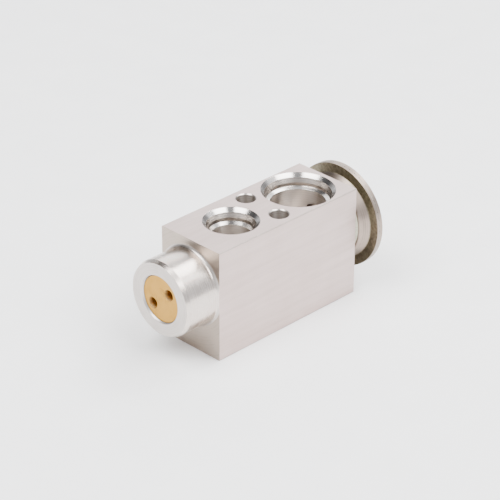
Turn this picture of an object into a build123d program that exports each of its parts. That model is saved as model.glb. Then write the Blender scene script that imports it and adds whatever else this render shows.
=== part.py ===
from build123d import *
import math
import os

# Block-type thermostatic expansion valve of a vehicle air-conditioning circuit, in millimetres.
# The valve's axis lies along X. The condenser-side port face is Z = 0, and the valve rests on it.
# The origin is on that face, midway between the two bolt holes: +X points to the power head and
# +Z to the evaporator-side ports.

# Bar that the body is machined from
block_width = 25.5
block_height = 38.0
bar_corner_radius = 0.35
end_edge_break = 0.25
axis_height = 22.1

# Stations along the valve
bolts_to_suction = 16.2
suction_to_head_face = 13.8
bolts_to_outlet = 13.7
outlet_to_inlet = 9.0
inlet_to_boss_face = 8.5

# Boss turned on the end of the bar for the adjusting plug
boss_length = 13.1
boss_side_step = 0.05
boss_chamfer_length = 1.4
boss_chamfer_rise = 0.6
boss_root_radius = 1.2

# Two through holes for the M6 bolts that clamp the pipe flanges
bolt_hole_wall = 2.3
bolt_hole_radius = 3.1
bolt_hole_chamfer = 0.3

# Ports: chamfer, lead-in taper, cylinder where the pipe's O-ring seals, ledge, flow bore
port_chamfer = 1.2
taper_depth = 1.6
taper_rise = 0.6
seat_length = 1.2
suction_mouth_wall = 0.65
suction_ledge = 1.2
suction_step_depth = 0.55
outlet_mouth_radius = 9.1
outlet_ledge = 0.7
outlet_step_depth = 1.0
outlet_floor_below_axis = 2.6
inlet_mouth_radius = 7.4
inlet_ledge = 0.8
inlet_step_depth = 0.8
inlet_flow_depth = 11.0
feed_hole_radius = 2.0
feed_hole_inset = 0.4

# Clearances on the radius
running_clearance = 0.05
thread_clearance = 0.07
contact_gap = 0.02

# Bores on the valve's axis
plug_thread_radius = 8.0
plug_mouth_break = 0.1
plug_seal_bore = 7.0
seal_lead_in = 0.5
chamber_radius = 6.0
orifice_wall = 2.3
orifice_radius = 1.9
seat_mouth_radius = 2.6
push_rod_radius = 1.2
seal_pocket_radius = 2.9
seal_pocket_depth = 8.05
throat_radius = 5.0
head_thread_radius = 7.0
head_thread_depth = 5.6
head_mouth_break = 0.5

# Adjusting plug: fine-threaded head, sealed nose, pocket for the coil spring
plug_recess = 0.6
plug_travel = 1.0
plug_thread_length = 5.8
plug_nose_length = 4.9
plug_rim_chamfer = 0.25
plug_pocket_radius = 4.8
plug_pocket_depth = 5.3
plug_groove_width = 1.8
plug_groove_end_wall = 0.75
plug_ring_cord = 1.3
spanner_hole_radius = 1.85
spanner_hole_depth = 3.2
spanner_hole_spacing = 8.9
spanner_hole_angle = 37.0

# Ball, its holder and the two springs behind it
ball_radius = 3.0
lift = 0.8
seat_gap = 0.05
holder_collar_radius = 3.6
holder_collar_length = 1.7
holder_cup_depth = 1.2
holder_flange_thickness = 1.6
holder_stem_length = 3.6
leg_room = 1.0
damper_sheet = 0.25
damper_legs = 8
damper_leg_length = 2.8
damper_slot_width = 1.6
leg_rub_share = 0.65
wire_diameter = 1.3
coil_pitch = 2.2
coil_side_gap = 0.15
stem_side_gap = 0.3

# Push rod seal, held in its pocket by a washer and a push nut
seal_ring_cord = 1.6
washer_thickness = 0.5
push_nut_sheet = 0.3
push_nut_dish = 0.25
push_nut_teeth = 6
push_nut_slot = 0.5
push_nut_tooth = 0.9

# Sensing rod and the pad that carries the diaphragm
sensing_rod_radius = 3.1
rod_nose_radius = 2.5
rod_nose_length = 5.0
rod_shoulder_gap = 1.6
rod_taper = 0.6
rod_hole_depth = 3.2
pad_side_gap = 1.9
pad_thickness = 1.5
pad_hub_radius = 6.4
pad_socket_depth = 2.3
pad_stop_gap = 0.05
pad_vent_width = 1.6
pad_vents = 3

# Power head: two pressed steel shells welded at the rim, with the diaphragm between them
gasket_thickness = 1.6
gasket_bore_gap = 0.6
gasket_width = 4.7
shell_sheet = 1.1
diaphragm_sheet = 0.15
diaphragm_rise = 0.95
convolution_width = 0.85
convolution_rise = 0.4
rim_radius = 17.85
head_face_to_rim = 4.85
rim_flange_width = 3.45
lower_wall_slope = 1.5
lower_bend_radius = 0.9
neck_length = 5.2
neck_end_chamfer = 0.5
dome_rise = 3.8
dome_flange_width = 2.55
dome_slope = 4.9
dome_bend_radius = 2.0
charge_hole_radius = 2.4
charge_plug_head_radius = 3.8
charge_plug_head_height = 1.5
charge_plug_length = 2.6

# Radii and spacings worked out from the bar, the ports, the head thread and the rim
boss_radius = block_width / 2 - boss_side_step
bolt_spacing = block_width - 2 * (bolt_hole_radius + bolt_hole_wall)
suction_mouth_radius = block_width / 2 - suction_mouth_wall
suction_seat_radius = suction_mouth_radius - port_chamfer - taper_rise
suction_flow_radius = suction_seat_radius - suction_ledge
outlet_seat_radius = outlet_mouth_radius - port_chamfer - taper_rise
outlet_flow_radius = outlet_seat_radius - outlet_ledge
inlet_seat_radius = inlet_mouth_radius - port_chamfer - taper_rise
inlet_flow_radius = inlet_seat_radius - inlet_ledge
lower_shoulder_radius = rim_radius - rim_flange_width
lower_floor_radius = lower_shoulder_radius - lower_wall_slope
gasket_inner_radius = head_thread_radius + gasket_bore_gap
gasket_outer_radius = gasket_inner_radius + gasket_width
pad_radius = lower_floor_radius - pad_side_gap
dome_shoulder_radius = rim_radius - dome_flange_width
dome_crown_radius = dome_shoulder_radius - dome_slope

# Places along the axis worked out from the sizes above
suction_x = bolts_to_suction
head_face = suction_x + suction_to_head_face
outlet_x = -bolts_to_outlet
inlet_x = outlet_x - outlet_to_inlet
boss_face = inlet_x - inlet_to_boss_face
boss_front = boss_face - boss_length

plug_face = boss_front + plug_recess
plug_shoulder = plug_face + plug_thread_length
plug_nose_end = plug_shoulder + plug_nose_length
thread_end = plug_shoulder + plug_travel + plug_recess / 2
chamber_start = plug_nose_end + plug_travel + plug_recess / 2
seat_face = outlet_x - outlet_flow_radius - orifice_wall
guide_radius = push_rod_radius + running_clearance
seal_pocket_mouth = suction_x - suction_flow_radius
seal_pocket_floor = seal_pocket_mouth - seal_pocket_depth

seat_cone_line = seat_face + seat_mouth_radius
ball_centre = seat_cone_line - math.sqrt(2) * (ball_radius + seat_gap)
ball_front = ball_centre + ball_radius
holder_front = ball_centre - holder_cup_depth
holder_flange_front = holder_front - holder_collar_length
holder_flange_back = holder_flange_front - holder_flange_thickness
holder_flange_radius = chamber_radius - leg_room
coil_radius = plug_pocket_radius - coil_side_gap - wire_diameter / 2
holder_stem_radius = coil_radius - wire_diameter / 2 - stem_side_gap
coil_end = holder_flange_back - damper_sheet
coil_start = plug_nose_end - plug_pocket_depth

plate_front = head_face + gasket_thickness
plate_back = plate_front + shell_sheet
rim_front = head_face + head_face_to_rim
diaphragm_plane = rim_front + shell_sheet + diaphragm_sheet / 2
cap_front = rim_front + shell_sheet + diaphragm_sheet
pad_top = diaphragm_plane + diaphragm_rise - diaphragm_sheet / 2
pad_back = pad_top - pad_thickness
hub_back = plate_back + lift + pad_stop_gap
rod_nose_end = seal_pocket_mouth + rod_shoulder_gap / 2 - rod_nose_length
rod_shoulder = seal_pocket_mouth + rod_shoulder_gap
push_rod_end = rod_nose_end + rod_hole_depth
crown_outside = cap_front + shell_sheet + dome_rise

valve_axis = Axis((0, 0, axis_height), (1, 0, 0))
valve_section = Plane(origin=(0, 0, axis_height), x_dir=(1, 0, 0), z_dir=(0, 0, 1))


def cross_section(x):
    """Plane square to the valve's axis at the place x, with its local x along Y and y along Z."""
    return Plane(origin=(x, 0, axis_height), x_dir=(0, 1, 0), z_dir=(1, 0, 0))


def turned(*outline, mode=Mode.ADD):
    """Turns a closed outline of (x, radius) points about the valve's axis."""
    with BuildSketch(valve_section) as profile:
        with BuildLine():
            Polyline(*outline, close=True)
        make_face()
    revolve(profiles=profile.sketch, axis=valve_axis, mode=mode)


def pressed(*middle_line, sheet, bend_radius):
    """Turns a bent sheet, given by the middle line of its section, about the valve's axis."""
    with BuildSketch(valve_section) as profile:
        with BuildLine():
            FilletPolyline(*middle_line, radius=bend_radius)
        trace(line_width=sheet)
    revolve(profiles=profile.sketch, axis=valve_axis)


def port(x, face, inward, seat, flow, step_depth, flow_end):
    """Bores a stepped O-ring port from a port face; inward is +1 up from Z = 0, or -1 down."""
    chamfer_end = face + inward * port_chamfer
    taper_end = chamfer_end + inward * taper_depth
    seat_end = taper_end + inward * seat_length
    step_end = seat_end + inward * step_depth
    with BuildSketch(Plane.XZ) as profile:
        with BuildLine():
            Polyline(
                (x, face),
                (x + seat + taper_rise + port_chamfer, face),
                (x + seat + taper_rise, chamfer_end),
                (x + seat, taper_end),
                (x + seat, seat_end),
                (x + flow, step_end),
                (x + flow, flow_end),
                (x, flow_end),
                close=True,
            )
        make_face()
    revolve(profiles=profile.sketch, axis=Axis((x, 0, 0), (0, 0, 1)), mode=Mode.SUBTRACT)


def o_ring(x, inner, cord):
    """Ring of round cord around the valve's axis, with its middle at x."""
    with BuildSketch(valve_section) as profile:
        with Locations((x, inner + cord / 2)):
            Circle(cord / 2)
    revolve(profiles=profile.sketch, axis=valve_axis)


# Body: extruded bar, turned at one end, then bored from four sides
with BuildPart() as valve_block:
    with BuildSketch(Plane.YZ.offset(boss_front)):
        with Locations((0, block_height / 2)):
            RectangleRounded(block_width, block_height, bar_corner_radius)
    extrude(amount=head_face - boss_front)
    head_end = valve_block.faces().sort_by(Axis.X)[-1]
    chamfer(head_end.edges(), length=end_edge_break)

    bar_sweep = math.hypot(block_width, 2 * block_height)
    with BuildSketch(valve_section):
        with BuildLine():
            Polyline(
                (boss_front, 0),
                (boss_front, boss_radius - boss_chamfer_rise),
                (boss_front + boss_chamfer_length, boss_radius),
                (boss_face - boss_root_radius, boss_radius),
            )
            RadiusArc(
                (boss_face - boss_root_radius, boss_radius),
                (boss_face, boss_radius + boss_root_radius),
                -boss_root_radius,
            )
            Polyline(
                (boss_face, boss_radius + boss_root_radius),
                (boss_face, bar_sweep),
                (head_face, bar_sweep),
                (head_face, 0),
                (boss_front, 0),
            )
        make_face()
    revolve(axis=valve_axis, mode=Mode.INTERSECT)

    turned(
        (boss_front, 0),
        (boss_front, plug_thread_radius + plug_mouth_break),
        (boss_front + plug_mouth_break, plug_thread_radius),
        (thread_end, plug_thread_radius),
        (thread_end + seal_lead_in, plug_seal_bore),
        (chamber_start, plug_seal_bore),
        (chamber_start, chamber_radius),
        (seat_face, chamber_radius),
        (seat_face, seat_mouth_radius),
        (seat_cone_line - orifice_radius, orifice_radius),
        (outlet_x, orifice_radius),
        (outlet_x, guide_radius),
        (seal_pocket_floor, guide_radius),
        (seal_pocket_floor, seal_pocket_radius),
        (suction_x, seal_pocket_radius),
        (suction_x, throat_radius),
        (head_face - head_thread_depth, throat_radius),
        (head_face - head_thread_depth, head_thread_radius),
        (head_face - head_mouth_break, head_thread_radius),
        (head_face, head_thread_radius + head_mouth_break),
        (head_face, 0),
        mode=Mode.SUBTRACT,
    )

    for face, inward in ((0, 1), (block_height, -1)):
        port(
            suction_x, face, inward, suction_seat_radius, suction_flow_radius,
            suction_step_depth, axis_height,
        )
    port(
        outlet_x, block_height, -1, outlet_seat_radius, outlet_flow_radius,
        outlet_step_depth, axis_height - outlet_floor_below_axis,
    )
    port(
        inlet_x, 0, 1, inlet_seat_radius, inlet_flow_radius,
        inlet_step_depth, inlet_flow_depth,
    )
    feed_x = inlet_x - inlet_flow_radius + feed_hole_radius + feed_hole_inset
    with BuildSketch(Plane.XY.offset(inlet_flow_depth)):
        with Locations((feed_x, 0)):
            Circle(feed_hole_radius)
    extrude(amount=axis_height - inlet_flow_depth, mode=Mode.SUBTRACT)

    with BuildSketch():
        with GridLocations(0, bolt_spacing, 1, 2):
            Circle(bolt_hole_radius)
    extrude(amount=block_height, mode=Mode.SUBTRACT)
    bolt_hole_rims = (
        valve_block.edges()
        .filter_by(GeomType.CIRCLE)
        .filter_by(lambda rim: abs(rim.radius - bolt_hole_radius) < contact_gap)
    )
    chamfer(bolt_hole_rims, length=bolt_hole_chamfer)
valve_block.part.label = "valve_block"

# Adjusting plug: brass, with two holes for a pin spanner in its outer face
plug_head_radius = plug_thread_radius - thread_clearance
plug_nose_radius = plug_seal_bore - running_clearance
plug_groove_end = plug_nose_end - plug_groove_end_wall
plug_groove_start = plug_groove_end - plug_groove_width
plug_groove_radius = plug_nose_radius - plug_ring_cord
with BuildPart() as adjusting_plug:
    turned(
        (plug_face, 0),
        (plug_face, plug_head_radius - plug_rim_chamfer),
        (plug_face + plug_rim_chamfer, plug_head_radius),
        (plug_shoulder - plug_rim_chamfer, plug_head_radius),
        (plug_shoulder, plug_nose_radius),
        (plug_groove_start, plug_nose_radius),
        (plug_groove_start, plug_groove_radius),
        (plug_groove_end, plug_groove_radius),
        (plug_groove_end, plug_nose_radius),
        (plug_nose_end, plug_nose_radius),
        (plug_nose_end, plug_pocket_radius),
        (coil_start, plug_pocket_radius),
        (coil_start, 0),
    )
    with BuildSketch(cross_section(plug_face)):
        with PolarLocations(spanner_hole_spacing / 2, 2, start_angle=-spanner_hole_angle):
            Circle(spanner_hole_radius)
    extrude(amount=spanner_hole_depth, mode=Mode.SUBTRACT)
adjusting_plug.part.label = "adjusting_plug"

with BuildPart() as plug_o_ring:
    o_ring((plug_groove_start + plug_groove_end) / 2, plug_groove_radius, plug_ring_cord)
plug_o_ring.part.label = "plug_o_ring"

# Coil spring: round wire, with both ends ground square to the axis
with BuildPart() as valve_spring:
    with BuildLine() as coil:
        Helix(
            pitch=coil_pitch,
            height=coil_end - coil_start + wire_diameter / 2,
            radius=coil_radius,
            center=(coil_start - wire_diameter / 4, 0, axis_height),
            direction=(1, 0, 0),
        )
    with BuildSketch(Plane(origin=coil.line @ 0, z_dir=coil.line % 0)):
        Circle(wire_diameter / 2)
    sweep(path=coil.line, is_frenet=True)
    split(bisect_by=cross_section(coil_start), keep=Keep.TOP)
    split(bisect_by=cross_section(coil_end), keep=Keep.BOTTOM)
valve_spring.part.label = "valve_spring"

# Ball holder: cupped for the ball, flanged for the springs, with a stem inside the coil
with BuildPart() as ball_holder:
    turned(
        (holder_flange_back - holder_stem_length, 0),
        (holder_flange_back - holder_stem_length, holder_stem_radius),
        (holder_flange_back, holder_stem_radius),
        (holder_flange_back, holder_flange_radius),
        (holder_flange_front, holder_flange_radius),
        (holder_flange_front, holder_collar_radius),
        (holder_front, holder_collar_radius),
        (holder_front, 0),
    )
    with Locations((ball_centre, 0, axis_height)):
        Sphere(ball_radius + contact_gap, mode=Mode.SUBTRACT)
ball_holder.part.label = "ball_holder"

# Damping spring: sheet ring with bowed legs that rub on the chamber wall
leg_radius = chamber_radius - running_clearance - damper_sheet / 2
leg_root_radius = holder_flange_radius + 2 * running_clearance + damper_sheet
damper_plane = coil_end + damper_sheet / 2
with BuildPart() as damping_spring:
    pressed(
        (damper_plane, holder_stem_radius + contact_gap),
        (damper_plane, leg_root_radius),
        (damper_plane + leg_rub_share * damper_leg_length, leg_radius),
        (damper_plane + damper_leg_length, leg_root_radius + damper_sheet),
        sheet=damper_sheet,
        bend_radius=2 * damper_sheet,
    )
    with BuildSketch(cross_section(coil_end)):
        with PolarLocations(chamber_radius, damper_legs):
            Rectangle(2 * (chamber_radius - coil_radius), damper_slot_width)
    extrude(amount=damper_leg_length + 2 * damper_sheet, mode=Mode.SUBTRACT)
damping_spring.part.label = "damping_spring"

with BuildPart() as valve_ball:
    with Locations((ball_centre, 0, axis_height)):
        Sphere(ball_radius)
valve_ball.part.label = "valve_ball"

# Push rod: from the ball, through the orifice and its seal, into the sensing rod
with BuildPart() as push_rod:
    with BuildSketch(cross_section(ball_front + contact_gap)):
        Circle(push_rod_radius)
    extrude(amount=push_rod_end - ball_front - contact_gap)
push_rod.part.label = "push_rod"

rod_ring_centre = seal_pocket_floor + contact_gap + seal_ring_cord / 2
washer_face = seal_pocket_floor + 2 * contact_gap + seal_ring_cord
push_nut_plane = washer_face + washer_thickness + contact_gap + push_nut_sheet / 2
with BuildPart() as rod_o_ring:
    o_ring(rod_ring_centre, guide_radius, seal_ring_cord)
rod_o_ring.part.label = "rod_o_ring"

with BuildPart() as seal_washer:
    with BuildSketch(cross_section(washer_face)):
        Circle(seal_pocket_radius - running_clearance)
        Circle(guide_radius, mode=Mode.SUBTRACT)
    extrude(amount=washer_thickness)
seal_washer.part.label = "seal_washer"

# Push nut: dished ring with teeth that bite into the wall of the pocket
with BuildPart() as push_nut:
    pressed(
        (push_nut_plane, push_rod_radius + push_nut_sheet),
        (push_nut_plane, seal_pocket_radius - push_nut_tooth),
        (push_nut_plane + push_nut_dish, seal_pocket_radius - contact_gap - push_nut_sheet / 2),
        sheet=push_nut_sheet,
        bend_radius=push_nut_sheet,
    )
    with BuildSketch(cross_section(push_nut_plane - push_nut_sheet)):
        with PolarLocations(seal_pocket_radius, push_nut_teeth):
            Rectangle(2 * push_nut_tooth, push_nut_slot)
    extrude(amount=push_nut_dish + push_nut_tooth, mode=Mode.SUBTRACT)
push_nut.part.label = "push_nut"

# Sensing rod: takes the temperature of the gas in the suction passage up to the head
with BuildPart() as sensing_rod:
    turned(
        (rod_nose_end, push_rod_radius),
        (rod_nose_end, rod_nose_radius),
        (rod_shoulder - rod_taper, rod_nose_radius),
        (rod_shoulder, sensing_rod_radius),
        (hub_back + pad_socket_depth, sensing_rod_radius),
        (hub_back + pad_socket_depth, 0),
        (push_rod_end, 0),
        (push_rod_end, push_rod_radius),
    )
sensing_rod.part.label = "sensing_rod"

# Diaphragm pad: wide disc under the diaphragm, with a hub that stops on the lower shell
with BuildPart() as diaphragm_pad:
    turned(
        (hub_back, sensing_rod_radius),
        (hub_back, pad_hub_radius),
        (pad_back, pad_hub_radius),
        (pad_back, pad_radius),
        (pad_top, pad_radius),
        (pad_top, 0),
        (hub_back + pad_socket_depth, 0),
        (hub_back + pad_socket_depth, sensing_rod_radius),
    )
    with BuildSketch(cross_section(hub_back)):
        with PolarLocations(pad_hub_radius, pad_vents):
            Rectangle(2 * pad_hub_radius - sensing_rod_radius, pad_vent_width)
    extrude(amount=(pad_back - hub_back) / 2, mode=Mode.SUBTRACT)
diaphragm_pad.part.label = "diaphragm_pad"

with BuildPart() as head_gasket:
    with BuildSketch(cross_section(head_face)):
        Circle(gasket_outer_radius)
        Circle(gasket_inner_radius, mode=Mode.SUBTRACT)
    extrude(amount=gasket_thickness)
head_gasket.part.label = "head_gasket"

# Lower shell: pressed cup with a threaded neck, which screws into the body
neck_radius = head_thread_radius - thread_clearance
plate_middle = plate_front + shell_sheet / 2
lower_rim_middle = rim_front + shell_sheet / 2
with BuildPart() as lower_shell:
    pressed(
        (plate_middle, throat_radius),
        (plate_middle, lower_floor_radius - shell_sheet / 2),
        (lower_rim_middle, lower_shoulder_radius),
        (lower_rim_middle, rim_radius),
        sheet=shell_sheet,
        bend_radius=lower_bend_radius,
    )
    turned(
        (head_face - neck_length, throat_radius),
        (head_face - neck_length, neck_radius - neck_end_chamfer),
        (head_face - neck_length + neck_end_chamfer, neck_radius),
        (plate_back, neck_radius),
        (plate_back, throat_radius),
    )
lower_shell.part.label = "lower_shell"

# Diaphragm: thin disc with one convolution, bulged towards the charge when the valve is shut
with BuildPart() as diaphragm:
    pressed(
        (diaphragm_plane, rim_radius - diaphragm_sheet),
        (diaphragm_plane, lower_shoulder_radius),
        (diaphragm_plane + convolution_rise, lower_shoulder_radius - convolution_width),
        (diaphragm_plane, lower_shoulder_radius - 2 * convolution_width),
        (diaphragm_plane + diaphragm_rise, pad_radius + diaphragm_sheet),
        (diaphragm_plane + diaphragm_rise, 0),
        sheet=diaphragm_sheet,
        bend_radius=2 * diaphragm_sheet,
    )
diaphragm.part.label = "diaphragm"

# Upper shell: domed cap over the charge, with a hole for the charge plug
cap_middle = cap_front + shell_sheet / 2
crown_middle = crown_outside - shell_sheet / 2
with BuildPart() as upper_shell:
    pressed(
        (cap_middle, rim_radius),
        (cap_middle, dome_shoulder_radius),
        (crown_middle, dome_crown_radius),
        (crown_middle, charge_hole_radius),
        sheet=shell_sheet,
        bend_radius=dome_bend_radius,
    )
upper_shell.part.label = "upper_shell"

with BuildPart() as charge_plug:
    turned(
        (crown_outside + charge_plug_head_height - charge_plug_length, 0),
        (crown_outside + charge_plug_head_height - charge_plug_length, charge_hole_radius),
        (crown_outside, charge_hole_radius),
        (crown_outside, charge_plug_head_radius),
        (crown_outside + charge_plug_head_height, charge_hole_radius),
        (crown_outside + charge_plug_head_height, 0),
    )
charge_plug.part.label = "charge_plug"

pieces = [
    valve_block, adjusting_plug, plug_o_ring, valve_spring, ball_holder, damping_spring,
    valve_ball, push_rod, rod_o_ring, seal_washer, push_nut, sensing_rod, diaphragm_pad,
    head_gasket, lower_shell, diaphragm, upper_shell, charge_plug,
]
os.makedirs("parts", exist_ok=True)
for piece in pieces:
    export_step(piece.part, f"parts/{piece.part.label}.step")
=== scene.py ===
# %% [markdown]
# # Dressing an expansion valve
# The valve arrives as a imported CAD model: eighteen solids in metres, each tied to the body that it
# moves with. This notebook sets up the camera and gives each solid the finish of its real metal,
# rubber or fibre. It shows the coil spring as two halves, adds the two weld beads that a solid model
# leaves out, and lights the whole in a small studio. Nothing that comes from the CAD is moved or
# reshaped.

# %% Load the imported valve
import math

import bmesh
import bpy
from mathutils import Matrix, Vector


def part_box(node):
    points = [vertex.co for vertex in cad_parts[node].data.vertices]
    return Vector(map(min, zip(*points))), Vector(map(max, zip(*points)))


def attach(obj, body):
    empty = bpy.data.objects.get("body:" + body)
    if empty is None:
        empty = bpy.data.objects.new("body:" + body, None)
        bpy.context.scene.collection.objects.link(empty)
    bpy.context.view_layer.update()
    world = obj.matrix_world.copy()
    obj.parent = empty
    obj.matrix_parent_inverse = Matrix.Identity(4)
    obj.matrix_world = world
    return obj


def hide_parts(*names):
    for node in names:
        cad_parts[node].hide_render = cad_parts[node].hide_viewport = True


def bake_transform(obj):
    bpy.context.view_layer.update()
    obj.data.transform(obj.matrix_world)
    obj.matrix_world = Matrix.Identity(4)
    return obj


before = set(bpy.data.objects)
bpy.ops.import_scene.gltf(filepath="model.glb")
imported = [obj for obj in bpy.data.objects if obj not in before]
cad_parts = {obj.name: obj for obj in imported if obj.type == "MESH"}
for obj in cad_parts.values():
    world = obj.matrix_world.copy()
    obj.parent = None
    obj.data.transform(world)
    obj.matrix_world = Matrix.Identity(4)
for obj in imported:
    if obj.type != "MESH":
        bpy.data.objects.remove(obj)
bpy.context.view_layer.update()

MM = 0.001

# %% [markdown]
# The places that the finishes need come from the boxes of the solids, so they follow the CAD. The
# valve's axis runs along X, and the adjusting plug is centred on it.

# %% Measure the valve
def middle(node):
    """Middle of a solid's box."""
    low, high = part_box(node)
    return (low + high) / 2


block_low, block_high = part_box("valve_block")
plug_low, plug_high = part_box("adjusting_plug")
shell_low, shell_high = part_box("lower_shell")
axis_point = Vector((0, 0, middle("adjusting_plug").z))
boss_length = 13.1 * MM
boss_root = block_low.x + boss_length
rim_radius = (shell_high.y - shell_low.y) / 2
print("axis height in mm:", round(axis_point.z / MM, 2), "rim radius in mm:", round(rim_radius / MM, 2))

# %% [markdown]
# A long lens from well back keeps the edges of the block nearly parallel, as in the photograph: its
# focal length is 4.4 times the picture's width. The camera looks at the bolt holes from the boss
# end, 29 degrees above the table.

# %% Camera
view_azimuth = math.radians(-44.963)
view_elevation = math.radians(29.05)
view_roll = math.radians(0.224)
aim = Vector((-5.39, 0, 24.324)) * MM
view_distance = 695.07 * MM
focal_share = 4.409
sensor_width = 36

back = Vector((
    math.sin(view_azimuth) * math.cos(view_elevation),
    -math.cos(view_azimuth) * math.cos(view_elevation),
    math.sin(view_elevation),
))
level_right = Vector((0, 0, 1)).cross(back).normalized()
level_up = back.cross(level_right)
right = math.cos(view_roll) * level_right + math.sin(view_roll) * level_up
up = back.cross(right)

camera_data = bpy.data.cameras.new("studio_camera")
camera_data.sensor_width = sensor_width
camera_data.lens = sensor_width * focal_share
camera_data.clip_start = 0.05
camera_data.clip_end = 20
camera = bpy.data.objects.new("studio_camera", camera_data)
turn = Matrix((right, up, back)).transposed().to_4x4()
camera.matrix_world = Matrix.Translation(aim + back * view_distance) @ turn
bpy.context.scene.collection.objects.link(camera)
bpy.context.scene.camera = camera
print("camera at", [round(v, 3) for v in camera.location], "lens", round(camera_data.lens, 1))

# %% [markdown]
# Every finish is built from nodes. One helper adds a node, sets its properties, and either sets an
# input's number or joins it to the socket that feeds it. Colours are written as the sRGB hex values
# that a screen shows, and one function turns them into the linear numbers that light adds up in.

# %% Helpers for the finishes
def linear(hex_colour):
    """Linear RGBA of an sRGB hex colour."""
    parts = [int(hex_colour[i : i + 2], 16) / 255 for i in (1, 3, 5)]
    return [p / 12.92 if p <= 0.04045 else ((p + 0.055) / 1.055) ** 2.4 for p in parts] + [1.0]


def add(tree, kind, inputs=None, **settings):
    """Adds a node with its settings; each input gets a number, or the socket that feeds it."""
    node = tree.nodes.new(kind)
    for name, value in settings.items():
        setattr(node, name, value)
    for name, value in (inputs or {}).items():
        if isinstance(value, bpy.types.NodeSocket):
            tree.links.new(value, node.inputs[name])
        else:
            node.inputs[name].default_value = value
    return node


def new_finish(name):
    """An empty material and its node tree."""
    material = bpy.data.materials.new(name)
    material.use_nodes = True
    material.node_tree.nodes.clear()
    return material, material.node_tree


def mixed_colour(tree, share, first, second, low=0.35, high=0.65):
    """Colour between two hex colours, as the share goes from low to high."""
    ramp = add(tree, "ShaderNodeValToRGB", {"Fac": share})
    ramp.color_ramp.elements[0].position = low
    ramp.color_ramp.elements[0].color = linear(first)
    ramp.color_ramp.elements[1].position = high
    ramp.color_ramp.elements[1].color = linear(second)
    return ramp.outputs["Color"]


def finish_with(tree, shader):
    """Joins a shader to the material's output."""
    add(tree, "ShaderNodeOutputMaterial", {"Surface": shader.outputs["BSDF"]})


print("mid grey #808080 in linear light:", round(linear("#808080")[0], 3))

# %% [markdown]
# ## Extruded aluminium
# The body is cut from a bar of extruded aluminium, and its long faces keep that skin. The die drags
# along the bar and leaves streaks that are centimetres long: bands a few millimetres wide, and in
# them lines of a few tenths. A streak is a little lighter or darker than the next one and scatters
# light a little more. All of it is one noise that is stretched along X, with enough detail to hold
# both the bands and the lines. A second, weaker noise stands for the thin oxide and for handling.
# The long edges are broken with a file, and their faces get a darker copy of the skin as painted shade.

# %% Extruded aluminium
band_width = 2.6 * MM
streak_length = 60 * MM
streak_depth = 0.01 * MM
oxide_patch = 9 * MM
bar_edge = 0.08 * MM


def extruded_aluminium(name, dark, light):
    """Aluminium with the die's streaks along X."""
    material, tree = new_finish(name)
    place = add(tree, "ShaderNodeTexCoord").outputs["Object"]
    stretched = add(tree, "ShaderNodeMapping", {
        "Vector": place, "Scale": (1 / streak_length, 1 / band_width, 1 / band_width),
    }).outputs["Vector"]
    streaks = add(tree, "ShaderNodeTexNoise", {
        "Vector": stretched, "Scale": 1.0, "Detail": 6.0, "Roughness": 0.72,
    }).outputs["Fac"]
    oxide = add(tree, "ShaderNodeTexNoise", {
        "Vector": place, "Scale": 1 / oxide_patch, "Detail": 3.0,
    }).outputs["Fac"]
    both = add(tree, "ShaderNodeMath", {0: oxide, 1: 0.35, 2: streaks}, operation="MULTIPLY_ADD")
    colour = mixed_colour(tree, both.outputs["Value"], dark, light, 0.5, 0.85)
    rough = add(tree, "ShaderNodeMapRange", {
        "Value": streaks, "From Min": 0.3, "From Max": 0.7, "To Min": 0.38, "To Max": 0.48,
    }).outputs["Result"]
    relief = add(tree, "ShaderNodeBump", {
        "Height": streaks, "Strength": 0.6, "Distance": streak_depth,
        "Normal": add(tree, "ShaderNodeBevel", {"Radius": bar_edge}, samples=4).outputs["Normal"],
    }).outputs["Normal"]
    finish_with(tree, add(tree, "ShaderNodeBsdfPrincipled", {
        "Base Color": colour, "Metallic": 1.0, "Roughness": rough, "Normal": relief,
    }))
    return material


bar_skin = extruded_aluminium("extruded_aluminium", "#BCA9A3", "#CCBBB6")
# A darker copy of the skin for the faces of the broken long edges: painted shade.
broken_edge = extruded_aluminium("broken_edge_painted_shade", "#9E938C", "#AEA29B")
print("finishes:", bar_skin.name, broken_edge.name)

# %% [markdown]
# ## Metal cut on a lathe
# The boss, the faces around it, the plug and the rods are turned: the tool leaves fine rings about
# the valve's axis. Across the rings the surface is rough, and along them it is smooth, so a
# highlight is drawn out across them: into a band along a cylinder and a fan on a flat face. An
# anisotropic metal does the same. Its tangent runs around the axis, and a quarter turn of the
# anisotropy lays the rough direction across the rings.

# %% Directions about the valve's axis
def outward_of(tree, place):
    """Vector from the valve's axis straight out to a point."""
    away = add(tree, "ShaderNodeVectorMath", {0: place, 1: tuple(axis_point)}, operation="SUBTRACT")
    return add(tree, "ShaderNodeVectorMath", {
        0: away.outputs["Vector"], 1: (0, 1, 1),
    }, operation="MULTIPLY").outputs["Vector"]


def around_axis(tree, outward):
    """Tangent that runs around the valve's axis, in world space for the shader."""
    ring = add(tree, "ShaderNodeVectorMath", {0: (1, 0, 0), 1: outward}, operation="CROSS_PRODUCT")
    unit = add(tree, "ShaderNodeVectorMath", {0: ring.outputs["Vector"]}, operation="NORMALIZE")
    return add(tree, "ShaderNodeVectorTransform", {
        "Vector": unit.outputs["Vector"],
    }, vector_type="VECTOR", convert_from="OBJECT", convert_to="WORLD").outputs["Vector"]


print("rings run about the line y = 0, z =", round(axis_point.z / MM, 2), "mm")

# %% [markdown]
# The rings are a noise along one line: the place along the axis plus the distance from it, so that
# a cylinder and a flat face both get them. A real finishing cut feeds about 0.1 mm each turn. That
# is finer than the picture shows, so most rings are drawn two to five times as coarse.

# %% Turned metal
handling_patch = 4 * MM
roughness_spread = 0.03


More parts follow.
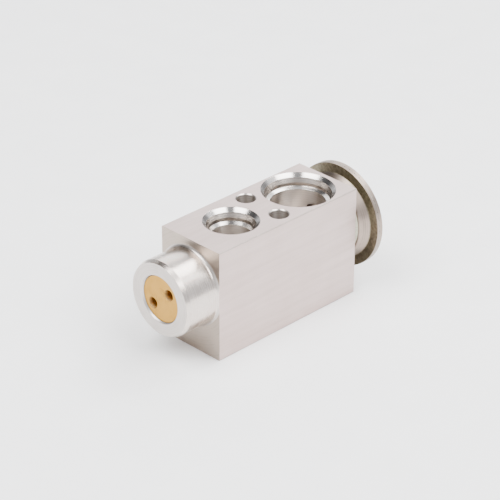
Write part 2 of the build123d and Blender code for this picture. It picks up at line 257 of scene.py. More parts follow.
def turned_metal(
    name, dark, light, roughness, grooves, feed=0.25 * MM, depth=0.006 * MM, edge=0.06 * MM,
):
    """Metal cut on a lathe; feed is the distance from ring to ring, edge the radius of its corners."""
    material, tree = new_finish(name)
    place = add(tree, "ShaderNodeTexCoord").outputs["Object"]
    outward = outward_of(tree, place)
    along = add(tree, "ShaderNodeSeparateXYZ", {"Vector": place}).outputs["X"]
    radius = add(tree, "ShaderNodeVectorMath", {0: outward}, operation="LENGTH").outputs["Value"]
    travel = add(tree, "ShaderNodeMath", {0: along, 1: radius}, operation="ADD").outputs["Value"]
    turns = add(tree, "ShaderNodeMath", {0: travel, 1: 1 / feed}, operation="MULTIPLY").outputs["Value"]
    rings = add(tree, "ShaderNodeTexNoise", {
        "W": turns, "Scale": 1.0, "Detail": 2.0,
    }, noise_dimensions="1D").outputs["Fac"]
    patches = add(tree, "ShaderNodeTexNoise", {
        "Vector": place, "Scale": 1 / handling_patch, "Detail": 3.0,
    }).outputs["Fac"]
    both = add(tree, "ShaderNodeMath", {0: rings, 1: patches}, operation="ADD").outputs["Value"]
    colour = mixed_colour(tree, both, dark, light, 0.7, 1.3)
    rough = add(tree, "ShaderNodeMapRange", {
        "Value": both, "From Min": 0.7, "From Max": 1.3,
        "To Min": roughness - roughness_spread, "To Max": roughness + roughness_spread,
    }).outputs["Result"]
    relief = add(tree, "ShaderNodeBump", {
        "Height": rings, "Strength": 0.6, "Distance": depth,
        "Normal": add(tree, "ShaderNodeBevel", {"Radius": edge}, samples=6).outputs["Normal"],
    }).outputs["Normal"]
    finish_with(tree, add(tree, "ShaderNodeBsdfPrincipled", {
        "Base Color": colour, "Metallic": 1.0, "Roughness": rough, "Anisotropic": grooves,
        "Anisotropic Rotation": 0.25, "Normal": relief, "Tangent": around_axis(tree, outward),
    }))
    return material


turned_aluminium = turned_metal(
    "turned_aluminium", "#C6B8AE", "#D6CBC2", 0.27, 0.6, feed=0.25 * MM, depth=0.004 * MM,
)
boss_face = turned_metal(
    "fine_faced_aluminium", "#B3AAA4", "#C2BAB4", 0.34, 0.4, feed=0.3 * MM, depth=0.004 * MM,
)
# A darker copy of the turned metal for the two ends of the bar: painted shade where the boss and the
# power head shade them.
faced_aluminium = turned_metal(
    "coarse_faced_painted_shade", "#A0948A", "#AC9F93", 0.36, 0.2, feed=0.5 * MM, depth=0.003 * MM,
)
turned_brass = turned_metal(
    "turned_brass", "#98702A", "#B38739", 0.3, 0.4, feed=0.2 * MM, depth=0.006 * MM, edge=0.3 * MM,
)
# A dark brown copy of the brass: painted shade for the plug's inner faces and the bottoms of its holes.
brass_painted_shade = turned_metal("brass_painted_shade", "#4A3A20", "#6E5630", 0.36, 0.3, feed=0.3 * MM)
print("finishes:", turned_aluminium.name, boss_face.name, faced_aluminium.name)
print("finishes:", turned_brass.name, brass_painted_shade.name)

# %% [markdown]
# ## Bored aluminium
# The ports are cut with a stepped tool that turns about a vertical line, so their rings are level
# and highlights stand upright in the walls. On such a wall the level tangent is the cross product
# of Z and the surface's normal. A level ledge has its normal along Z, where that product vanishes,
# so the normal is tipped by one degree first.

# %% Bored aluminium
ring_step = 0.3 * MM
ring_depth = 0.004 * MM
port_edge = 0.12 * MM
one_degree_tip = (0.017, 0, 0)


def bored_aluminium(name, dark, light, roughness, grooves):
    """Aluminium bored about a vertical line."""
    material, tree = new_finish(name)
    place = add(tree, "ShaderNodeTexCoord").outputs["Object"]
    height = add(tree, "ShaderNodeSeparateXYZ", {"Vector": place}).outputs["Z"]
    turns = add(tree, "ShaderNodeMath", {
        0: height, 1: 1 / ring_step,
    }, operation="MULTIPLY").outputs["Value"]
    rings = add(tree, "ShaderNodeTexNoise", {
        "W": turns, "Scale": 1.0, "Detail": 2.0,
    }, noise_dimensions="1D").outputs["Fac"]
    colour = mixed_colour(tree, rings, dark, light)
    relief = add(tree, "ShaderNodeBump", {
        "Height": rings, "Strength": 0.5, "Distance": ring_depth,
        "Normal": add(tree, "ShaderNodeBevel", {"Radius": port_edge}, samples=8).outputs["Normal"],
    }).outputs["Normal"]
    facing = add(tree, "ShaderNodeNewGeometry").outputs["Normal"]
    tipped = add(tree, "ShaderNodeVectorMath", {0: facing, 1: one_degree_tip}, operation="ADD")
    level = add(tree, "ShaderNodeVectorMath", {
        0: (0, 0, 1), 1: tipped.outputs["Vector"],
    }, operation="CROSS_PRODUCT")
    finish_with(tree, add(tree, "ShaderNodeBsdfPrincipled", {
        "Base Color": colour, "Metallic": 1.0, "Roughness": roughness, "Anisotropic": grooves,
        "Anisotropic Rotation": 0.25, "Normal": relief, "Tangent": level.outputs["Vector"],
    }))
    return material


port_cut = bored_aluminium("bored_aluminium", "#C9C3BE", "#DBD6D2", 0.22, 0.75)
# A darker copy for the ports' upright walls as deep as the seats: painted shade.
port_wall = bored_aluminium("bore_wall_painted_shade", "#ABA299", "#C3BBB4", 0.25, 0.85)
drilled_aluminium = bored_aluminium("drilled_aluminium", "#CDC5BE", "#DED7D1", 0.31, 0.85)
print("finishes:", port_cut.name, port_wall.name, drilled_aluminium.name)

# %% [markdown]
# ## Threads
# The plug screws into the boss and the power head into the block, both on fine threads. In the solids
# they are plain cylinders, so the thread is a bump: a helix climbs by one pitch while it goes once
# round the axis. The place along the axis in pitches, plus the angle in turns, rises steadily across
# the ridges, and a zigzag of that number is the thread's profile. Its colour is dark in the grooves as
# painted shade and light on the crests as painted highlight. The tapped hole in the boss starts with
# a coned lead-in, which shows as a bright crescent below the sunk plug. There the bump's height rises
# steadily along the axis, and that leans the wall outwards, and the lead-in takes the light colour as
# a painted highlight.

# %% Threaded metal
thread_pitch = 1.0 * MM
lead_in_length = 0.9 * MM
lead_in_slope = 0.7
lead_in_roughness = 0.12
run_out = 0.1 * MM


def threaded_metal(name, dark, light, roughness, thread_start=-1.0):
    """Metal with a helical thread about the valve's axis, coned before thread_start on the axis."""
    material, tree = new_finish(name)
    place = add(tree, "ShaderNodeTexCoord").outputs["Object"]
    outward = add(tree, "ShaderNodeSeparateXYZ", {"Vector": outward_of(tree, place)})
    along = add(tree, "ShaderNodeSeparateXYZ", {"Vector": place}).outputs["X"]
    angle = add(tree, "ShaderNodeMath", {
        0: outward.outputs["Y"], 1: outward.outputs["Z"],
    }, operation="ARCTAN2").outputs["Value"]
    turned = add(tree, "ShaderNodeMath", {
        0: angle, 1: 0.5 / math.pi,
    }, operation="MULTIPLY").outputs["Value"]
    climbed = add(tree, "ShaderNodeMath", {
        0: along, 1: 1 / thread_pitch, 2: turned,
    }, operation="MULTIPLY_ADD").outputs["Value"]
    ridges = add(tree, "ShaderNodeMath", {0: climbed, 1: 0.5}, operation="PINGPONG").outputs["Value"]
    coned = add(tree, "ShaderNodeMapRange", {
        "Value": along, "From Min": thread_start, "From Max": thread_start + run_out,
        "To Min": 1.0, "To Max": 0.0,
    }).outputs["Result"]
    cone = add(tree, "ShaderNodeMath", {
        0: along, 1: lead_in_slope / thread_pitch,
    }, operation="MULTIPLY").outputs["Value"]
    profile = add(tree, "ShaderNodeMix", {
        "Factor": coned, "A": ridges, "B": cone,
    }).outputs["Result"]
    # The colour is dark in the thread's grooves and light on its crests and on the lead-in: painted
    # shade and painted highlight.
    share = add(tree, "ShaderNodeMath", {0: ridges, 1: coned}, operation="MAXIMUM").outputs["Value"]
    rough = add(tree, "ShaderNodeMapRange", {
        "Value": coned, "To Min": roughness, "To Max": roughness + lead_in_roughness,
    }).outputs["Result"]
    finish_with(tree, add(tree, "ShaderNodeBsdfPrincipled", {
        "Base Color": mixed_colour(tree, share, dark, light, 0.1, 0.4),
        "Metallic": 1.0, "Roughness": rough,
        "Normal": add(tree, "ShaderNodeBump", {
            "Height": profile, "Strength": 1.0, "Distance": thread_pitch,
        }).outputs["Normal"],
    }))
    return material


tapped_aluminium = threaded_metal(
    "tapped_aluminium", "#8F8880", "#D2CCC7", 0.32, thread_start=block_low.x + lead_in_length,
)
threaded_brass = threaded_metal("threaded_brass", "#57431F", "#9A7534", 0.34)
threaded_steel = threaded_metal("threaded_stainless", "#6F675F", "#A59B92", 0.34)
print("finishes:", tapped_aluminium.name, threaded_brass.name, threaded_steel.name)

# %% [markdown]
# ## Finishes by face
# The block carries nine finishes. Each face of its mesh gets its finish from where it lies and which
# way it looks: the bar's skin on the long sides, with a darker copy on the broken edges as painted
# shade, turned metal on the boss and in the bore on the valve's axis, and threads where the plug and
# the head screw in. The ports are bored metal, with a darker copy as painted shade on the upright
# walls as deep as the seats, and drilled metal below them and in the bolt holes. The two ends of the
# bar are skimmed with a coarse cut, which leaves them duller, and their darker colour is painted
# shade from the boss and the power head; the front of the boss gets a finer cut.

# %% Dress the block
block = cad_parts["valve_block"]
block_finishes = [
    bar_skin, broken_edge, turned_aluminium, port_cut, faced_aluminium, boss_face, port_wall,
    drilled_aluminium, tapped_aluminium,
]
block.data.materials.clear()
for finish in block_finishes:
    block.data.materials.append(finish)

near = 0.05 * MM
edge_break = 0.4 * MM
axis_bore_reach = 8.1 * MM
plug_thread_floor = 7.8 * MM
head_thread_floor = 6.8 * MM
head_thread_start = block_high.x - 8 * MM
bolt_row_half = 14.7 * MM / 2
bolt_hole_reach = 3.4 * MM
seat_depth = 5.6 * MM
upright_limit = 0.45
level_limit = 0.999


def block_finish(spot, facing):
    """The block's finish for a face at a spot, looking in a direction."""
    outward = Vector((0, spot.y, spot.z - axis_point.z))
    in_axis_bore = outward.length < axis_bore_reach and outward.normalized().dot(facing) < -0.9
    tapped = in_axis_bore and (
        spot.x < boss_root and outward.length > plug_thread_floor
        or spot.x > head_thread_start and outward.length > head_thread_floor
    )
    at_an_end = abs(spot.x - boss_root) < near or spot.x > block_high.x - edge_break
    on_port_face = spot.z < near or spot.z > block_high.z - near
    on_side = abs(spot.y) > block_high.y - edge_break
    if tapped:
        return tapped_aluminium
    # The ends take the darker faced metal, painted shade.
    if at_an_end and abs(facing.x) > 0.5:
        return faced_aluminium
    if spot.x < boss_root + near:
        return boss_face if facing.x < -0.5 else turned_aluminium
    if in_axis_bore:
        return turned_aluminium
    # The faces of the broken long edges take the darker copy of the skin, painted shade.
    if on_side and 0.1 < abs(facing.z) < level_limit:
        return broken_edge
    if (on_port_face and abs(facing.z) > level_limit) or on_side:
        return bar_skin
    in_bolt_hole = math.hypot(spot.x, abs(spot.y) - bolt_row_half) < bolt_hole_reach
    below_seat = seat_depth < spot.z < block_high.z - seat_depth
    if in_bolt_hole or (below_seat and abs(facing.z) < upright_limit):
        return drilled_aluminium
    # Upright port walls take the darker copy, painted shade.
    return port_wall if abs(facing.z) < upright_limit else port_cut


counts = {finish.name: 0 for finish in block_finishes}
for face in block.data.polygons:
    finish = block_finish(face.center, face.normal)
    face.material_index = block_finishes.index(finish)
    counts[finish.name] += 1
print("faces of the block by finish:", counts)

# %% [markdown]
# The plug is turned brass with two drilled holes for a pin spanner and a thread round it. Its inner
# end and the bottoms of the holes get a darker, browner brass as painted shade. The walls of the holes
# are rough from the drill; their colour is a painted highlight at the mouth and browns further in as
# painted shade.

# %% Dress the plug
smear_size = 0.5 * MM
smear_relief = 0.02 * MM
shade_depth = 1.8 * MM


def drilled_brass():
    """Brass roughened by a drill, lighter at the mouth as a painted highlight and browner further in as
    painted shade.
    """
    material, tree = new_finish("drilled_brass")
    place = add(tree, "ShaderNodeTexCoord").outputs["Object"]
    along = add(tree, "ShaderNodeSeparateXYZ", {"Vector": place}).outputs["X"]
    smears = add(tree, "ShaderNodeTexNoise", {
        "Vector": place, "Scale": 1 / smear_size, "Detail": 3.0,
    }).outputs["Fac"]
    # Painted highlight at the hole's mouth and painted shade further in: the colour browns with depth
    # along X.
    depth = add(tree, "ShaderNodeMapRange", {
        "Value": along, "From Min": plug_low.x, "From Max": plug_low.x + shade_depth,
    }).outputs["Result"]
    smears_and_shade = add(tree, "ShaderNodeMath", {
        0: smears, 1: 0.4, 2: depth,
    }, operation="MULTIPLY_ADD").outputs["Value"]
    finish_with(tree, add(tree, "ShaderNodeBsdfPrincipled", {
        "Base Color": mixed_colour(tree, smears_and_shade, "#FBE0A6", "#B8853C", 0.3, 1.1),
        "Metallic": 1.0, "Roughness": 0.62,
        "Normal": add(tree, "ShaderNodeBump", {
            "Height": smears, "Strength": 0.4, "Distance": smear_relief,
        }).outputs["Normal"],
    }))
    return material


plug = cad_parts["adjusting_plug"]
plug.data.materials.clear()
for finish in (turned_brass, brass_painted_shade, threaded_brass, drilled_brass()):
    plug.data.materials.append(finish)
bright, shaded, threaded, drilled = range(4)
holes_reach = 6.6 * MM
holes_end = plug_low.x + 4 * MM
thread_floor = (plug_high.y - plug_low.y) / 2 - 0.3 * MM
plug_counts = [0, 0, 0, 0]
for face in plug.data.polygons:
    spot = face.center
    off_axis = math.hypot(spot.y, spot.z - axis_point.z)
    if spot.x < plug_low.x + near:
        face.material_index = bright
    elif off_axis < holes_reach and spot.x < holes_end and abs(face.normal.x) < 0.7:
        face.material_index = drilled
    elif off_axis > thread_floor and abs(face.normal.x) < 0.3:
        face.material_index = threaded
    # The remaining faces, the inner end and the bottoms of the holes among them, take the dark brass:
    # painted shade.
    else:
        face.material_index = shaded
    plug_counts[face.material_index] += 1
print("bright, oily, threaded and drilled faces of the plug:", plug_counts)

# %% [markdown]
# ## Pressed stainless steel
# The two shells of the power head are pressed from stainless sheet. Drawing pulls fine lines round
# the cup, and the sheet's satin surface goes slightly mottled where it is stretched most. The
# turned-metal finish has both, with broader and shallower rings.

# %% Shells, foil and plug of the head
pressed_steel = turned_metal(
    "pressed_stainless", "#877A70", "#9D8E83", 0.36, 0.25, feed=0.7 * MM, depth=0.0015 * MM,
)
foil_steel = turned_metal(
    "diaphragm_foil", "#B5B0AA", "#C6C2BD", 0.22, 0.1, feed=0.5 * MM, depth=0.002 * MM,
)
plug_steel = turned_metal("charge_plug_steel", "#8E8780", "#A8A19A", 0.3, 0.4, feed=0.2 * MM)
print("finishes:", pressed_steel.name, foil_steel.name, plug_steel.name)

# %% [markdown]
# ## Rods, springs and ball
# The push rod is ground stainless, the sensing rod turned aluminium. Spring wire is drawn through a
# die, which leaves it dark and satin. The ball is lapped until it mirrors the room, so only a very
# faint cloud in its roughness keeps it from looking like glass.

# %% Drawn and lapped steel
cloud_depth = 0.003 * MM


def plain_steel(name, dark, light, roughness, spread, patch):
    """Steel without a direction; patch is the size of its tone changes."""
    material, tree = new_finish(name)
    place = add(tree, "ShaderNodeTexCoord").outputs["Object"]
    cloud = add(tree, "ShaderNodeTexNoise", {
        "Vector": place, "Scale": 1 / patch, "Detail": 5.0, "Roughness": 0.6,
    }).outputs["Fac"]
    rough = add(tree, "ShaderNodeMapRange", {
        "Value": cloud, "From Min": 0.3, "From Max": 0.7,
        "To Min": roughness - spread, "To Max": roughness + spread,
    }).outputs["Result"]
    finish_with(tree, add(tree, "ShaderNodeBsdfPrincipled", {
        "Base Color": mixed_colour(tree, cloud, dark, light), "Metallic": 1.0, "Roughness": rough,
        "Normal": add(tree, "ShaderNodeBump", {
            "Height": cloud, "Strength": 0.3, "Distance": cloud_depth,
        }).outputs["Normal"],
    }))
    return material


ground_steel = turned_metal(
    "ground_stainless", "#B3AFAA", "#C9C6C2", 0.2, 0.5, feed=0.12 * MM, depth=0.002 * MM,
)
spring_wire = plain_steel("drawn_spring_wire", "#7F7A75", "#98938D", 0.32, 0.06, 0.5 * MM)
spring_sheet = plain_steel("rolled_spring_sheet", "#A5A09A", "#B9B4AE", 0.26, 0.05, 1.2 * MM)
lapped_steel = plain_steel("lapped_bearing_steel", "#CFCDCB", "#D8D6D4", 0.07, 0.02, 1.5 * MM)
# A darker olive-brown steel: painted shade for the underside of the shells' flange, which faces the
# block.
flange_shade_steel = plain_steel("flange_painted_shade_steel", "#6A6352", "#857E6C", 0.42, 0.06, 1.0 * MM)
print("finishes:", ground_steel.name, spring_wire.name, spring_sheet.name)
print("finishes:", lapped_steel.name, flange_shade_steel.name)

# %% [markdown]
# ## Rubber, washer and gasket
# The O-rings are moulded nitrile rubber: nearly black, dull, with a fine bloom. The washer behind
# the rod's seal is turned from PTFE, which is white and waxy and lets a little light in. The gasket
# under the power head is pressed from fibre and rubber, and its fibres show as short pale flecks.

# %% Soft seals
bloom_patch = 0.8 * MM
rubber_grain = 0.06 * MM
washer_feed = 0.15 * MM
fleck_size = 0.35 * MM
felt_size = 0.5 * MM
fine_relief = 0.004 * MM
fibre_relief = 0.02 * MM


def moulded_rubber():
    """Dull nitrile rubber with a bloom."""
    material, tree = new_finish("moulded_nitrile_rubber")
    place = add(tree, "ShaderNodeTexCoord").outputs["Object"]
    bloom = add(tree, "ShaderNodeTexNoise", {
        "Vector": place, "Scale": 1 / bloom_patch, "Detail": 4.0,
    }).outputs["Fac"]
    grain = add(tree, "ShaderNodeTexNoise", {
        "Vector": place, "Scale": 1 / rubber_grain, "Detail": 2.0,
    }).outputs["Fac"]
    finish_with(tree, add(tree, "ShaderNodeBsdfPrincipled", {
        "Base Color": mixed_colour(tree, bloom, "#141514", "#232524"), "Roughness": 0.55,
        "Normal": add(tree, "ShaderNodeBump", {
            "Height": grain, "Strength": 0.4, "Distance": fine_relief,
        }).outputs["Normal"],
    }))
    return material


def turned_ptfe():
    """Waxy white PTFE with a few rings from the lathe."""
    material, tree = new_finish("turned_ptfe")
    place = add(tree, "ShaderNodeTexCoord").outputs["Object"]
    radius = add(tree, "ShaderNodeVectorMath", {0: outward_of(tree, place)}, operation="LENGTH")
    turns = add(tree, "ShaderNodeMath", {
        0: radius.outputs["Value"], 1: 1 / washer_feed,
    }, operation="MULTIPLY").outputs["Value"]
    rings = add(tree, "ShaderNodeTexNoise", {
        "W": turns, "Scale": 1.0,
    }, noise_dimensions="1D").outputs["Fac"]
    finish_with(tree, add(tree, "ShaderNodeBsdfPrincipled", {
        "Base Color": mixed_colour(tree, rings, "#E9E7E0", "#F2F1EC"), "Roughness": 0.42, "IOR": 1.35,
        "Subsurface Weight": 0.2, "Subsurface Scale": 0.5 * MM,
        "Normal": add(tree, "ShaderNodeBump", {
            "Height": rings, "Strength": 0.3, "Distance": fine_relief,
        }).outputs["Normal"],
    }))
    return material


def pressed_fibre():
    """Felted fibre board with pale flecks."""
    material, tree = new_finish("pressed_fibre_gasket")
    place = add(tree, "ShaderNodeTexCoord").outputs["Object"]
    flecks = add(tree, "ShaderNodeTexVoronoi", {
        "Vector": place, "Scale": 1 / fleck_size, "Randomness": 1.0,
    }).outputs["Distance"]
    felt = add(tree, "ShaderNodeTexNoise", {
        "Vector": place, "Scale": 1 / felt_size, "Detail": 5.0,
    }).outputs["Fac"]
    both = add(tree, "ShaderNodeMath", {
        0: flecks, 1: 0.4, 2: felt,
    }, operation="MULTIPLY_ADD").outputs["Value"]
    finish_with(tree, add(tree, "ShaderNodeBsdfPrincipled", {
        "Base Color": mixed_colour(tree, both, "#A5A28E", "#BDBAA6", 0.5, 0.9), "Roughness": 0.8,
        "Normal": add(tree, "ShaderNodeBump", {
            "Height": both, "Strength": 0.5, "Distance": fibre_relief,
        }).outputs["Normal"],
    }))
    return material


rubber = moulded_rubber()
ptfe = turned_ptfe()
fibre = pressed_fibre()
print("finishes:", rubber.name, ptfe.name, fibre.name)

# %% [markdown]
# With all the finishes made, each remaining solid gets its own. The table reads like a parts list.

# %% Dress the other solids
parts_list = {
    "plug_o_ring": rubber,
    "rod_o_ring": rubber,
    "seal_washer": ptfe,
    "head_gasket": fibre,
    "valve_spring": spring_wire,
    "damping_spring": spring_sheet,
    "push_nut": spring_sheet,
    "ball_holder": ground_steel,
    "push_rod": ground_steel,
    "valve_ball": lapped_steel,
    "sensing_rod": turned_aluminium,
    "diaphragm_pad": turned_brass,
    "diaphragm": foil_steel,
    "lower_shell": pressed_steel,
    "upper_shell": pressed_steel,
    "charge_plug": plug_steel,
}
for name, finish in parts_list.items():
    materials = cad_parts[name].data.materials
    materials.clear()
    materials.append(finish)
print("solids dressed:", len(parts_list) + 2)

# %% [markdown]
# The shells are welded together at the rim. The underside of the flange below the weld faces the block
# and gets a darker olive-brown steel as painted shade, so those faces of the lower shell get a finish
# of their own. So does the thread on its neck, which screws into the block.

# %% Painted shade on the flange, and the neck's thread
flange_inside = rim_radius - 3.5 * MM
flange_outside = rim_radius - 0.3 * MM
flange_start = shell_high.x - 3 * MM
neck_radius = 7.0 * MM
neck_band = 0.15 * MM
shade_slot = 1
thread_slot = 2
lower_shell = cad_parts["lower_shell"]
lower_shell.data.materials.append(flange_shade_steel)
lower_shell.data.materials.append(threaded_steel)
flange_shade_faces = 0
neck_faces = 0
for face in lower_shell.data.polygons:
    spot = face.center
    off_axis = math.hypot(spot.y, spot.z - axis_point.z)
    on_flange = flange_inside < off_axis < flange_outside and spot.x > flange_start
    # Flange faces that look at the block take the darker steel, painted shade.
    if on_flange and face.normal.x < -0.7:
        face.material_index = shade_slot
        flange_shade_faces += 1
    elif abs(off_axis - neck_radius) < neck_band and abs(face.normal.x) < 0.3:
        face.material_index = thread_slot
        neck_faces += 1
print("tinted faces of the flange:", flange_shade_faces, "threaded faces of the neck:", neck_faces)

# %% [markdown]
# ## The coil spring
# The spring sits between the holder, which slides with the rods, and the plug, which screws in and
# out. So it is shown as two halves that meet at its middle. The last coil at each end is ground flat.

# %% Halves of the coil spring
seam_distance = 0.0001 * MM
ground_end_angle = math.radians(40)
spring_low, spring_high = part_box("valve_spring")
spring_middle = Vector(((spring_low.x + spring_high.x) / 2, 0, axis_point.z))


def spring_half(name, end_x):
    """The half of the coil spring from its middle to end_x."""
    shaper = bmesh.new()
    shaper.from_mesh(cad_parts["valve_spring"].data)
    bmesh.ops.remove_doubles(shaper, verts=shaper.verts, dist=seam_distance)
    towards = 1 if end_x > spring_middle.x else -1
    cut = bmesh.ops.bisect_plane(
        shaper, geom=shaper.verts[:] + shaper.edges[:] + shaper.faces[:],
        plane_co=spring_middle, plane_no=(towards, 0, 0), clear_inner=True,
    )
    rims = [part for part in cut["geom_cut"] if isinstance(part, bmesh.types.BMEdge)]
    bmesh.ops.contextual_create(shaper, geom=rims)
    mesh = bpy.data.meshes.new(name)
    shaper.to_mesh(mesh)
    shaper.free()
    mesh.shade_smooth()
    mesh.set_sharp_from_angle(angle=ground_end_angle)
    mesh.materials.clear()
    mesh.materials.append(spring_wire)
    half = bpy.data.objects.new(name, mesh)
    bpy.context.scene.collection.objects.link(half)
    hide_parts("valve_spring")
    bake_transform(half)
    return half


holder_half = spring_half("spring_half_at_holder", spring_high.x)
plug_half = spring_half("spring_half_at_plug", spring_low.x)
for half in (holder_half, plug_half):
    open_edges = 2 * len(half.data.edges) - len(half.data.loops)
    print(half.name, "faces:", len(half.data.polygons), "open edges:", open_edges)

# %% [markdown]
# ## Weld beads
# The two shells and the diaphragm between them are welded round the rim, and the charge plug is
# welded into the dome. Each weld is a low bead with a ripple from every pulse of the arc. A bead is
# made by sweeping a flat half-round section about the axis, and raising it a little at each ripple.

# %% Weld beads
steps_per_ripple = 4
corners = 9
ripple_shift = 0.12


def weld_bead(name, centre_x, radius, half_width, height, ripple, count):
    """Ring of weld about the valve's axis, made of count ripples."""
    mesh = bpy.data.meshes.new(name)
    shaper = bmesh.new()
    steps = count * steps_per_ripple
    rows = []
    for step in range(steps):
        angle = 2 * math.pi * step / steps
        lift = 1 - ripple * (0.5 + 0.5 * math.cos(2 * math.pi * step / steps_per_ripple))
        shift = ripple_shift * half_width * math.cos(angle * count)
        row = []
        for corner in range(corners):
            swing = math.pi * corner / (corners - 1)
            out = radius + height * lift * math.sin(swing)
            row.append(shaper.verts.new((
                centre_x - half_width * math.cos(swing) + shift,
                -out * math.sin(angle),
                axis_point.z + out * math.cos(angle),
            )))
        rows.append(row)
    for step in range(steps):
        here, there = rows[step], rows[(step + 1) % steps]
        for corner in range(corners):
            after = (corner + 1) % corners
            shaper.faces.new((here[corner], here[after], there[after], there[corner]))
    bmesh.ops.recalc_face_normals(shaper, faces=shaper.faces)
    shaper.to_mesh(mesh)
    shaper.free()
    for face in mesh.polygons:
        face.use_smooth = True
    bead = bpy.data.objects.new(name, mesh)
    bpy.context.scene.collection.objects.link(bead)
    return bead


weld_steel = plain_steel("arc_weld_bead", "#7C736A", "#A0978E", 0.3, 0.06, 0.8 * MM)
cap_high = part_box("upper_shell")[1]
cork_low, cork_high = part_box("charge_plug")
cork_radius = (cork_high.y - cork_low.y) / 2
sunk = 0.1 * MM
rim_weld = weld_bead(
    "rim_weld", shell_high.x, rim_radius - sunk,
    half_width=0.32 * MM, height=0.16 * MM, ripple=0.3, count=150,
)
plug_weld = weld_bead(
    "charge_plug_weld", cap_high.x, cork_radius - sunk,
    half_width=0.35 * MM, height=0.45 * MM, ripple=0.15, count=26,
)
for bead in (rim_weld, plug_weld):
    bead.data.materials.append(weld_steel)
    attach(bead, "valve_body")
print("welds at x in mm:", round(shell_high.x / MM, 2), round(cap_high.x / MM, 2))

# %% [markdown]
# ## Studio
# The floor is a sheet of white paper that runs well past the picture. A faint tooth keeps it from
# being one flat tone.

# %% Floor
floor_half = 3
floor_mesh = bpy.data.meshes.new("studio_floor")
shaper = bmesh.new()
bmesh.ops.create_grid(shaper, x_segments=8, y_segments=8, size=floor_half)
shaper.to_mesh(floor_mesh)
shaper.free()
floor = bpy.data.objects.new("studio_floor", floor_mesh)
bpy.context.scene.collection.objects.link(floor)
paper, tree = new_finish("white_paper")
tooth = add(tree, "ShaderNodeTexNoise", {"Scale": 400.0, "Detail": 2.0}).outputs["Fac"]
finish_with(tree, add(tree, "ShaderNodeBsdfPrincipled", {
    "Base Color": mixed_colour(tree, tooth, "#FAFAFA", "#FDFDFD"), "Roughness": 0.9,
}))
floor_mesh.materials.append(paper)
print("floor of", 2 * floor_half, "m")

# %% [markdown]
# Metal shows what surrounds it, so the size and place of a lamp matter as much as its strength. Two
# large soft boxes stand left and right of the camera with a dark gap between them, which each port
# shows as an upright dark stripe between two bright ones. A smaller box beyond the power head gives
# the boss its bright band, and a low wide one behind the valve fills the upper face. A lamp's power
# grows with its area, so each box is given by the brightness of its face. The numbers of a box are
# its azimuth and elevation in degrees, its distance, width and height in metres, and its brightness.

# %% Soft boxes
def soft_box(name, azimuth, elevation, distance, width, height, brightness):
    """A rectangular lamp that looks at the valve, as wide as stated along the picture's width."""
    data = bpy.data.lights.new(name, "AREA")
    data.shape = "RECTANGLE"
    data.size = width
    data.size_y = height
    data.energy = brightness * math.pi * width * height
    lamp = bpy.data.objects.new(name, data)
    a, e = math.radians(azimuth), math.radians(elevation)
    away = Vector((math.sin(a) * math.cos(e), -math.cos(a) * math.cos(e), math.sin(e)))
    across = (level_right - level_right.dot(away) * away).normalized()
    pose = Matrix((across, away.cross(across), away)).transposed().to_4x4()
    lamp.matrix_world = Matrix.Translation(middle("valve_block") + away * distance) @ pose
    bpy.context.scene.collection.objects.link(lamp)
    return lamp


lamps = [
    soft_box("left_box", -104, 60, 1.2, 0.72, 0.72, 12.0),
    soft_box("right_box", 12, 52, 1.2, 0.78, 0.85, 12.0),
    soft_box("band_box", 84, 52, 1.3, 0.6, 0.5, 13.0),
    soft_box("rear_box", 135, 30, 1.6, 1.6, 0.8, 3.4),
]
print("lamps:", [lamp.name for lamp in lamps])

# %% [markdown]
# The air of the studio is a light grey. Four black flags stand in it: one on the far left, one low
# on the right, one above the camera between the boxes, and one behind the valve. Machined metal
# looks like metal only where it has something dark to mirror: the flags give the boss its dark
# chamfer and the ports their dark crescents and stripes. A direction is behind a flag when it is
# nearly parallel to the flag's own direction, which their dot product tells. The flags stop short
# of the table, so that a low view of the valve still has a pale background. The numbers of a flag
# are its azimuth and elevation, the angles from its middle where it is full and where it ends, all
# in degrees, and the share of light that it takes away.

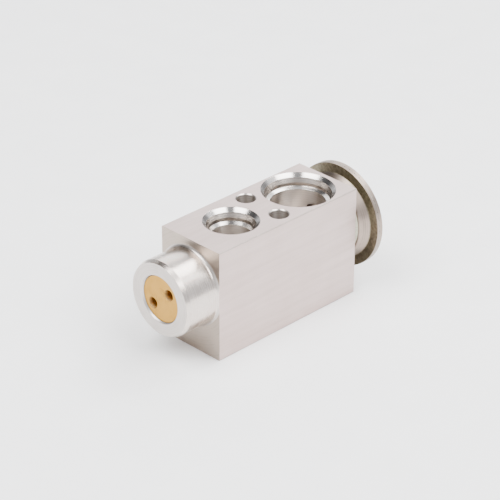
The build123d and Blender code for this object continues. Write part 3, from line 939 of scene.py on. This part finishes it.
# %% Studio air
world = bpy.data.worlds.new("studio_air")
world.use_nodes = True
bpy.context.scene.world = world
air = world.node_tree
air.nodes.clear()
look = add(air, "ShaderNodeTexCoord").outputs["Generated"]
height = add(air, "ShaderNodeSeparateXYZ", {"Vector": look}).outputs["Z"]
glow_at_horizon = 1.2
glow_above = 1.1
glow = add(air, "ShaderNodeMapRange", {
    "Value": height, "From Min": 0.0, "From Max": 0.5,
    "To Min": glow_at_horizon, "To Max": glow_above,
}).outputs["Result"]
above_table = add(air, "ShaderNodeMapRange", {
    "Value": height, "From Min": 0.04, "From Max": 0.13,
}).outputs["Result"]


def flagged(brightness, azimuth, elevation, inner, outer, darkness):
    """Brightness with a dark patch round a direction; inner and outer are angles from its middle."""
    a, e = math.radians(azimuth), math.radians(elevation)
    toward = (math.sin(a) * math.cos(e), -math.cos(a) * math.cos(e), math.sin(e))
    facing = add(air, "ShaderNodeVectorMath", {0: look, 1: toward}, operation="DOT_PRODUCT")
    cover = add(air, "ShaderNodeMapRange", {
        "Value": facing.outputs["Value"], "From Min": math.cos(math.radians(outer)),
        "From Max": math.cos(math.radians(inner)), "To Max": darkness,
    }, interpolation_type="SMOOTHSTEP").outputs["Result"]
    hidden = add(air, "ShaderNodeMath", {
        0: cover, 1: above_table,
    }, operation="MULTIPLY").outputs["Value"]
    open_sky = add(air, "ShaderNodeMath", {0: 1.0, 1: hidden}, operation="SUBTRACT").outputs["Value"]
    return add(air, "ShaderNodeMath", {
        0: brightness, 1: open_sky,
    }, operation="MULTIPLY").outputs["Value"]


flags = [
    (-138, 34, 20, 40, 0.8),
    (92, 16, 10, 24, 0.7),
    (-45, 47, 12, 26, 0.85),
    (176, 42, 17, 34, 0.85),
]
for azimuth, elevation, inner, outer, darkness in flags:
    glow = flagged(glow, azimuth, elevation, inner, outer, darkness)
sky = add(air, "ShaderNodeBackground", {"Color": linear("#F6F9FF"), "Strength": glow})
add(air, "ShaderNodeOutputWorld", {"Surface": sky.outputs["Background"]})
print("air brightness:", glow_at_horizon, "at the horizon,", glow_above, "above; flags:", len(flags))
